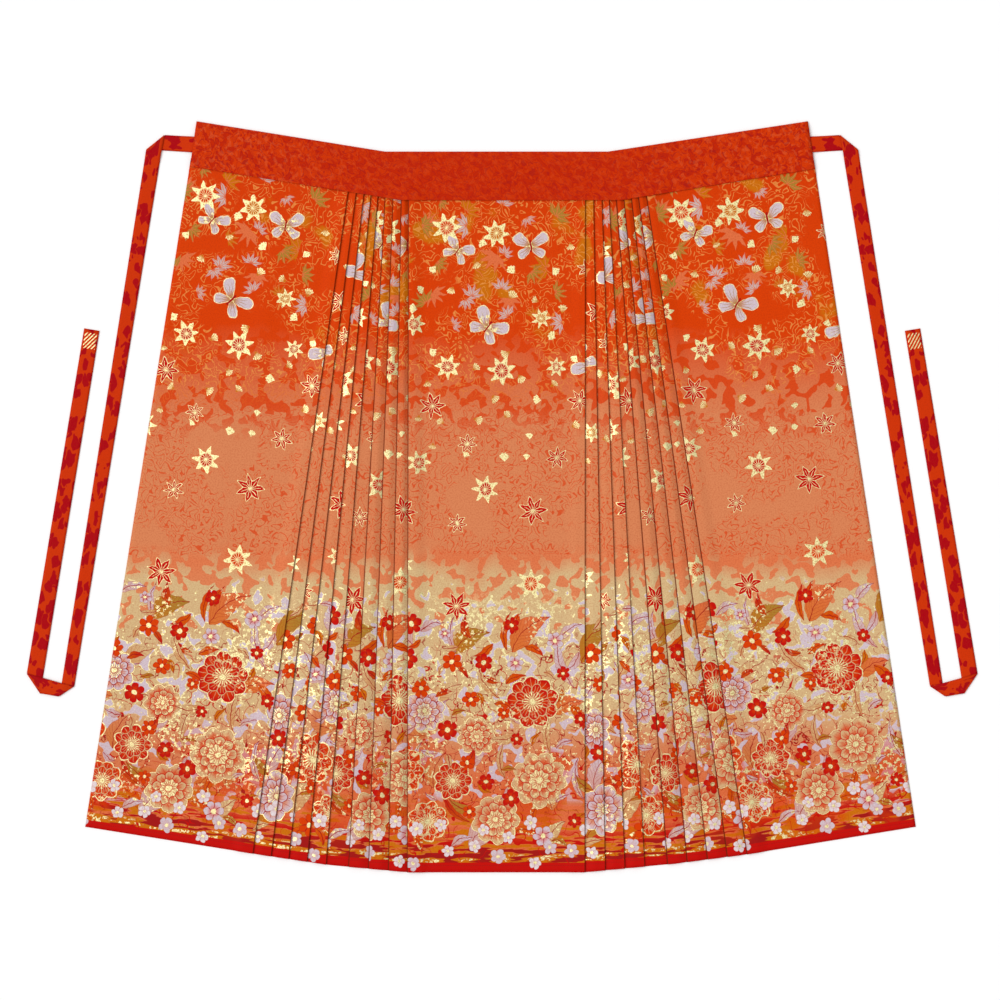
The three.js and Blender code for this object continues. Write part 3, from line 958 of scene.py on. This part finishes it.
    def fan_leaf(self, name):
        """Small leaf with a scalloped rim that opens from its stalk like a fan, in foil."""
        graph = self.graph
        x, y, radius, kind = self.stamped(name)
        side = abs(y)
        out = graph.math("SQRT", x * x + y * y)
        angle = graph.math("ARCTAN2", side, x + 0.5)
        scallops = graph.math("PINGPONG", angle, 0.16) * 1.1
        inside = graph.least(0.97 - out - scallops, x * 0.9 + 0.5 - side) * radius
        ribs = graph.math("PINGPONG", angle, 0.12) * (x + 0.5) * radius
        body = graph.step(inside, 0.0, SOFT_EDGE)
        self.gild(body)
        self.cover(body * graph.line(ribs, HAIRLINE) * graph.step(kind, 0.4, 0.42), self.yarn.ochre)

    def butterfly(self, name):
        """Butterfly with pale wings edged in foil."""
        graph = self.graph
        x, y, radius, _ = self.stamped(name)
        side = abs(y)

        def wing(centre_x, centre_y, slant, long, short):
            cosine, sine = math.cos(math.radians(slant)), math.sin(math.radians(slant))
            dx, dy = x - centre_x, side - centre_y
            p, q = (dx * cosine + dy * sine) / long, (dy * cosine - dx * sine) / short
            q = q * (1.3 - 0.55 * p)
            return 1 - graph.math("SQRT", p * p + q * q)

        fore, hind = wing(0.30, 0.46, 54, 0.54, 0.36), wing(-0.30, 0.36, 126, 0.42, 0.30)
        inside = graph.most(fore * 0.36, hind * 0.30) * radius
        body = graph.step(inside, 0.0, SOFT_EDGE)
        root = graph.math("SQRT", x * x + y * y)
        ribs = graph.math("PINGPONG", graph.math("ARCTAN2", side, x), 0.13) * root * radius
        self.cover(body, self.yarn.lavender)
        self.cover(body * graph.step(root, 0.55, 0.1) * 0.7, self.yarn.ochre)
        self.cover(body * graph.line(ribs, HAIRLINE) * graph.step(root, 0.9, 0.6), self.yarn.olive)
        self.gild(body * self.sparks * graph.step(root, 0.9, 0.4))
        self.gild(body * graph.line(inside, WING_EDGE))
        trunk = graph.step(side, 0.05, 0.035) * graph.step(abs(x), 0.34, 0.30)
        self.cover(trunk, self.yarn.crimson)

    def blossom(self, name, count, fills, line, blush):
        """Small open blossom with parted petals and a foil heart."""
        graph = self.graph
        x, y, radius, kind = self.stamped(name)
        out, on_petal, _ = self.petals(x, y, count)
        inside = (0.60 + 0.38 * on_petal ** 0.6 - out) * radius
        body = graph.step(inside, 0.0, CRISP_EDGE)
        parting = on_petal * out * radius * (2 / count)
        fill = graph.choice(kind, fills)
        self.cover(body, fill)
        self.cover(body * graph.step(out, 0.75, 0.3) * blush, self.yarn.vivid)
        self.cover(body * graph.line(graph.least(inside, parting), DRAWN_LINE), line)
        self.cover(graph.step(out, 0.27, 0.20), self.yarn.foil, 0.8)

    def finish(self):
        """The woven surface: painted shade in folds and along their edges, worn foil, fine ribs and the soft
        shine of satin.
        """
        graph = self.graph
        self.colour = graph.mix((self.grain - 0.42) * 0.9, self.colour, self.yarn.shade)
        self.cover(self.foil * graph.step(self.grain, 0.5, 0.72) * 0.75, self.yarn.olive, self.foil)
        # Painted shade: the colour is darkened towards the dark fold colour by the shade that each point
        # carries
        fold = graph.node("ShaderNodeAttribute", {"attribute_name": "fold"}, {}, 2)
        shaded = graph.mix(fold, self.colour, self.yarn.painted_fold_shade)
        ribs = graph.math("SINE", (self.v + self.u * 0.35) * (2 * math.pi / RIB_PITCH)) * 0.5
        threads = graph.math("SINE", self.u * (2 * math.pi / THREAD_PITCH)) * 0.25
        relief = ribs + threads + graph.noise(self.place, 0.012, 1.0) * 2.0
        normal = graph.node("ShaderNodeBump", {}, {"Strength": 0.35, "Distance": 0.0002, "Height": relief})
        return graph.finish(
            shaded,
            self.foil * FOIL_SHARE,
            graph.blend(self.foil, CLOTH_ROUGHNESS, FOIL_ROUGHNESS),
            normal,
            Sheen_Weight=0.01,
            Sheen_Roughness=0.4,
            Specular_IOR_Level=0.03,
        )


def ground(design):
    """The cloth's own fade, with the patches that lie on both of its finishes. The fade and its patches
    keep level across the skirt; the rest of the print follows the hem."""
    graph, yarn, place = design.graph, design.yarn, design.place
    level = graph.parts(graph.node("ShaderNodeTexCoord", {}, {}, "Object"))[1] - LOWEST_HEM
    wide = graph.noise(place, 0.085, 2.0)
    blots = graph.noise(place, 0.018, 1.5, 0.5, 0.3)
    flecks = graph.noise(place, 0.0062, 2.5, 0.65)
    design.drawn = graph.parts(graph.swayed(place, 0.011, 0.0020))[:2]
    design.sparks = graph.step(flecks, 0.56, 0.60) * graph.step(wide, 0.42, 0.54)
    height = level / PRINT_TOP + (wide - 0.5) * 0.06
    design.colour = graph.ramp(
        height,
        [
            (0.0, yarn.ochre),
            (0.05, yarn.shore),
            (0.12, yarn.shore),
            (0.17, yarn.salmon),
            (0.24, yarn.cream),
            (0.43, yarn.cream),
            (0.465, yarn.salmon),
            (0.66, yarn.salmon),
            (0.79, yarn.vivid),
            (0.90, yarn.vivid),
            (1.0, yarn.vivid_band),
        ],
    )
    shore = blots + (level - 0.40) * 2.2
    design.cover(graph.step(shore, 0.545, 0.555) * graph.between(level, 0.33, 0.445, 0.015) * 0.8, yarn.shore)
    pools = blots + graph.step(level, 0.33, 0.41) * 0.14
    low_end = graph.between(level, 0.10, 0.405, 0.01)
    design.cover(graph.step(pools, 0.42, 0.41) * low_end, yarn.lavender)
    outline = graph.step(abs(pools - 0.425), 0.021, 0.013) * graph.step(flecks, 0.36, 0.42)
    design.gild(outline * low_end * graph.step(level, 0.20, 0.26))
    return level, wide, blots, flecks


def field_weave(name):
    """The cloth above the garden: salmon that turns orange at the waist, with its winding lines and motifs."""
    design = Design(name)
    graph, yarn = design.graph, design.yarn
    level, wide, blots, _ = ground(design)
    worn = graph.step(wide + design.grain * 0.1, 0.66, 0.73)
    design.cover(worn * graph.step(level, 0.70, 0.80), yarn.ochre)
    islands = graph.step(blots, 0.535, 0.545)
    design.cover(islands * graph.between(level, 0.62, 0.78, 0.03) * 0.85, yarn.vivid)
    loops = graph.squiggles(design.place, 0.014)
    design.cover(loops * graph.step(level, 0.62, 0.70) * graph.step(wide, 0.40, 0.48) * 0.65, yarn.peach)
    design.cover(loops * graph.step(level, 0.70, 0.62) * graph.step(wide, 0.36, 0.44) * 0.75, yarn.vivid)
    design.spray("spray_back", 11, [yarn.ochre, yarn.shore, yarn.mist])
    design.spray("spray", 11, [yarn.mist, yarn.ochre, yarn.mist, yarn.olive, yarn.mist])
    design.butterfly("butterfly")
    design.fan_leaf("fan_leaf")
    design.star("star", 7)
    return design.finish()


def garden_weave(name):
    """The cloth below: a garden on cream that turns salmon, ochre and red at the hem."""
    design = Design(name)
    graph, yarn, place, u, v = design.graph, design.yarn, design.place, design.u, design.v
    level, wide, blots, flecks = ground(design)
    strokes = graph.noise(graph.point(u * 0.14, v), 0.0065, 2.0)
    design.cover(graph.step(strokes, 0.50, 0.53) * graph.step(v, 0.07, 0.04), yarn.red)
    design.cover(graph.step(strokes, 0.47, 0.45) * graph.step(v, 0.12, 0.06), yarn.ochre)
    design.cover(graph.step(v + strokes * 0.022, 0.034, 0.033), yarn.ochre)
    design.cover(graph.step(strokes, 0.515, 0.535) * graph.step(v, 0.040, 0.034), yarn.crimson)
    dashes = graph.step(strokes, 0.43, 0.41) * graph.step(v, 0.026, 0.022) * graph.step(flecks, 0.50, 0.54)
    design.gild(dashes)
    design.cover(graph.step(wide, 0.50, 0.58) * graph.between(level, 0.06, 0.19, 0.04) * 0.65, yarn.vivid)
    vines = graph.line(graph.cell_edges(graph.swayed(place, 0.030, 0.034), 0.050), VINE_LINE)
    design.cover(vines * graph.step(level, 0.33, 0.28) * graph.step(blots, 0.40, 0.46), yarn.red)
    twigs = graph.line(graph.cell_edges(graph.swayed(place, 0.013, 0.010), 0.019), DRAWN_LINE)
    design.cover(twigs * graph.between(level, 0.08, 0.33, 0.03) * graph.step(blots, 0.47, 0.51), yarn.crimson)
    dust = graph.step(flecks + wide * 0.5, 0.87, 0.89) * graph.between(level, 0.12, 0.37, 0.03)
    design.gild(dust)
    design.cover(graph.step(v, 0.0140, 0.0130), yarn.red)
    gaps = graph.step(graph.math("PINGPONG", u, STITCH_PITCH), 0.0004, 0.0006)
    design.cover(graph.line(v - HEM_STITCH, HAIRLINE) * gaps, yarn.crimson)

    design.star("star", 7)
    leaves = [yarn.lavender, yarn.shore, yarn.salmon, yarn.lavender, yarn.olive, yarn.cream]
    pale, warm = [yarn.lavender, yarn.cream], [yarn.red, yarn.vivid]
    design.leaf("leaf_back", leaves, 0.34)
    design.leaf("blade", [yarn.lavender, yarn.vivid, yarn.red, yarn.cream, yarn.lavender], 0.13)
    outer = [yarn.red, yarn.vivid, yarn.lavender, yarn.red, yarn.cream, yarn.vivid]
    deep = [yarn.vivid, yarn.red, yarn.salmon, yarn.crimson, yarn.vivid, yarn.red]
    lines = [yarn.cream, yarn.cream, yarn.crimson, yarn.cream, yarn.red, yarn.cream]
    design.bloom("bloom_large", 9, outer, deep, lines)
    design.leaf("leaf", [*pale, yarn.ochre, *warm, yarn.olive], 0.26)
    small = [yarn.red, yarn.lavender, yarn.vivid, yarn.red, yarn.vivid]
    design.blossom("bloom_small", 6, small, yarn.crimson, 0.6)
    design.blossom("blossom", 5, [yarn.blossom, yarn.blossom, yarn.lavender], yarn.mist, 0.2)
    design.cover(graph.step(level, 0.30, 0.12) * graph.step(v, 0.06, 0.09) * 0.11, yarn.shade, design.foil)
    return design.finish()


def band_weave(name):
    """The waistband's cloth: tone on tone, red-orange with clouded patches."""
    design = Design(name)
    graph, yarn, place = design.graph, design.yarn, design.place
    ends = graph.step(abs(design.u), 0.10, 0.36)
    clouds = graph.noise(place, 0.012, 2.5, 0.6, 0.3) + ends * 0.03
    rings = graph.squiggles(place, 0.012)
    marks = graph.noise(place, 0.0070, 1.6, 0.5, 0.4)
    clouded = graph.step(clouds, 0.48, 0.52) * (0.45 + 0.35 * ends)
    design.colour = graph.mix(clouded, yarn.band, yarn.vivid_band)
    design.cover(rings * (0.50 + 0.20 * ends), yarn.crimson)
    design.cover(graph.step(marks, 0.57, 0.59) * 0.20, yarn.crimson)
    design.cover(graph.step(marks, 0.41, 0.39) * (0.06 + 0.14 * ends), yarn.shore)
    return design.finish()


def tie_weave(name):
    """The ties' cloth: orange-red with dark red patches, darker edges, and foil bars at the free end."""
    design = Design(name)
    graph, yarn = design.graph, design.yarn
    stretched = graph.point(design.u, design.v * 0.62)
    middle, chance = graph.cells(graph.swayed(stretched, 0.010, 0.007), 0.0140)
    design.colour = tuple(yarn.tie)
    design.cover(graph.step(middle - chance * 0.0040, 0.0034, 0.0029), yarn.tie_patch)
    design.cover(graph.step(abs(design.u), 0.0094, 0.0108) * 0.3, yarn.tie_patch)
    bars = graph.math("PINGPONG", design.v - design.u * 1.3, TIE_BARS / 2)
    at_end = graph.between(design.v, TIE_LENGTH - 0.027, TIE_LENGTH - 0.005, 0.0003)
    inside = graph.step(abs(design.u), 0.0088, 0.0084)
    design.gild(graph.step(bars, 0.0014, 0.0010) * at_end * inside)
    return design.finish()


WEAVES = {
    "garden_weave": garden_weave,
    "field_weave": field_weave,
    "band_weave": band_weave,
    "tie_weave": tie_weave,
}


# Pieces


def lay_panel(name, spots, node):
    """Builds one panel and puts it in place of its solid."""
    cloth = bpy.context.scene.skirt_cloth
    piece = cloth_object(name, panel_grid(spots, cloth), cloth.wall, "garden_weave", "field_weave")
    declare(piece, node)
    return piece


def declare(piece, node):
    """Hides the solid that a piece stands for, and hangs the piece on the root body."""
    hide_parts(node)
    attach(piece, "root")


def finish_named(name):
    """A finish, made the first time that a piece asks for it."""
    if name in bpy.data.materials:
        return bpy.data.materials[name]
    return WEAVES[name](name)


class SKIRT_OT_end_panels(bpy.types.Operator):
    """Lay the two flat end panels"""

    bl_idname = "skirt.end_panels"
    bl_label = "End Panels"

    def execute(self, context):
        cloth = context.scene.skirt_cloth
        left = end_panel_spots(LEFT_FREE_EDGE, LEFT_FOLDS[0], 1, cloth, PRINT_START["left_end"])
        right = end_panel_spots(RIGHT_FREE_EDGE, RIGHT_FOLDS[-1], -1, cloth, PRINT_START["right_end"])
        lay_panel("left_end_cloth", left, "left_end_panel")
        lay_panel("right_end_cloth", right, "right_end_panel")
        return {"FINISHED"}


class SKIRT_OT_pleats(bpy.types.Operator):
    """Lay the two pleated stretches"""

    bl_idname = "skirt.pleats"
    bl_label = "Pleats"

    def execute(self, context):
        cloth = context.scene.skirt_cloth
        for side, folds in (("left", LEFT_FOLDS), ("right", RIGHT_FOLDS)):
            node = f"{side}_pleats"
            spots = pleat_spots(folds, cloth, PRINT_START[node])
            lay_panel(f"{side}_pleat_cloth", spots, node)
        return {"FINISHED"}


class SKIRT_OT_centre_panels(bpy.types.Operator):
    """Lay the centre panel, and the one that it hides"""

    bl_idname = "skirt.centre_panels"
    bl_label = "Centre Panels"

    def execute(self, context):
        cloth = context.scene.skirt_cloth
        under = under_panel_spots(cloth, PRINT_START["under"])
        centre = centre_panel_spots(cloth, PRINT_START["centre"])
        lay_panel("under_cloth", under, "under_panel")
        lay_panel("centre_cloth", centre, "centre_panel")
        return {"FINISHED"}


class SKIRT_OT_waistband(bpy.types.Operator):
    """Fold the waistband over the top of the skirt"""

    bl_idname = "skirt.waistband"
    bl_label = "Waistband"

    def execute(self, context):
        cloth = context.scene.skirt_cloth
        band = cloth_object("waistband_cloth", waistband_grid(cloth), cloth.wall, "band_weave")
        declare(band, "waistband")
        return {"FINISHED"}


class SKIRT_OT_ties(bpy.types.Operator):
    """Lay the two ties with their mitred turns"""

    bl_idname = "skirt.ties"
    bl_label = "Ties"

    def execute(self, context):
        cloth = context.scene.skirt_cloth
        for side, name in ((-1, "left"), (1, "right")):
            tie = cloth_object(f"{name}_tie_cloth", tie_grid(side, cloth), cloth.wall, "tie_weave")
            declare(tie, f"{name}_tie")
        return {"FINISHED"}


class SKIRT_OT_stage(bpy.types.Operator):
    """Set out a plain pale floor, soft studio light and a camera straight above"""

    bl_idname = "skirt.stage"
    bl_label = "Stage"

    def execute(self, context):
        scene = context.scene
        stage = scene.skirt_stage
        bm = bmesh.new()
        bmesh.ops.create_grid(bm, x_segments=1, y_segments=1, size=FLOOR_HALF)
        bmesh.ops.translate(bm, vec=(0, 0, -FLOOR_DROP), verts=bm.verts)
        mesh = bpy.data.meshes.new("floor")
        bm.to_mesh(mesh)
        bm.free()
        floor = bpy.data.objects.new("floor", mesh)
        scene.collection.objects.link(floor)
        paper = Graph("studio_paper")
        surface = paper.node("ShaderNodeBsdfPrincipled", {}, {"Base Color": FLOOR_WHITE, "Roughness": 0.8})
        paper.node("ShaderNodeOutputMaterial", {}, {"Surface": surface})
        mesh.materials.append(paper.material)

        world = bpy.data.worlds.new("studio")
        world.use_nodes = True
        world.node_tree.nodes["Background"].inputs["Color"].default_value = (1, 1, 1, 1)
        world.node_tree.nodes["Background"].inputs["Strength"].default_value = stage.sky
        scene.world = world

        sun = bpy.data.lights.new("key", "SUN")
        sun.energy = stage.key
        sun.angle = math.radians(KEY_SPREAD)
        key = bpy.data.objects.new("key", sun)
        key.rotation_euler = (math.radians(KEY_TILT[0]), math.radians(KEY_TILT[1]), 0)
        scene.collection.objects.link(key)

        lens = bpy.data.cameras.new("camera")
        lens.lens = LENS
        lens.sensor_width = SENSOR
        camera = bpy.data.objects.new("camera", lens)
        camera.location = (stage.view_x, stage.view_y, stage.view_width * LENS / SENSOR)
        scene.collection.objects.link(camera)
        scene.camera = camera
        scene.view_settings.view_transform = "Standard"
        return {"FINISHED"}


OPERATORS = (
    SKIRT_OT_stage,
    SKIRT_OT_end_panels,
    SKIRT_OT_pleats,
    SKIRT_OT_centre_panels,
    SKIRT_OT_waistband,
    SKIRT_OT_ties,
)


class SKIRT_PT_panel(bpy.types.Panel):
    """The skirt's sizes, colours and pieces"""

    bl_idname = "SKIRT_PT_panel"
    bl_label = "Horse-face Skirt"
    bl_space_type = "VIEW_3D"
    bl_region_type = "UI"
    bl_category = "Skirt"

    def draw(self, context):
        layout = self.layout
        for name in SETTINGS:
            group = getattr(context.scene, name)
            box = layout.box()
            for key in group.bl_rna.properties.keys():
                if key not in ("rna_type", "name"):
                    box.prop(group, key)
        for operator in OPERATORS:
            layout.operator(operator.bl_idname)


SETTINGS = {"skirt_cloth": SkirtCloth, "skirt_colours": SkirtColours, "skirt_stage": SkirtStage}
CLASSES = (*SETTINGS.values(), *OPERATORS, SKIRT_PT_panel)


def register():
    for cls in CLASSES:
        bpy.utils.register_class(cls)
    for name, group in SETTINGS.items():
        setattr(bpy.types.Scene, name, PointerProperty(type=group))


def unregister():
    for name in SETTINGS:
        delattr(bpy.types.Scene, name)
    for cls in reversed(CLASSES):
        bpy.utils.unregister_class(cls)


def main():
    register()
    for operator in OPERATORS:
        group, name = operator.bl_idname.split(".")
        getattr(getattr(bpy.ops, group), name)()


if __name__ == "__main__":
    main()
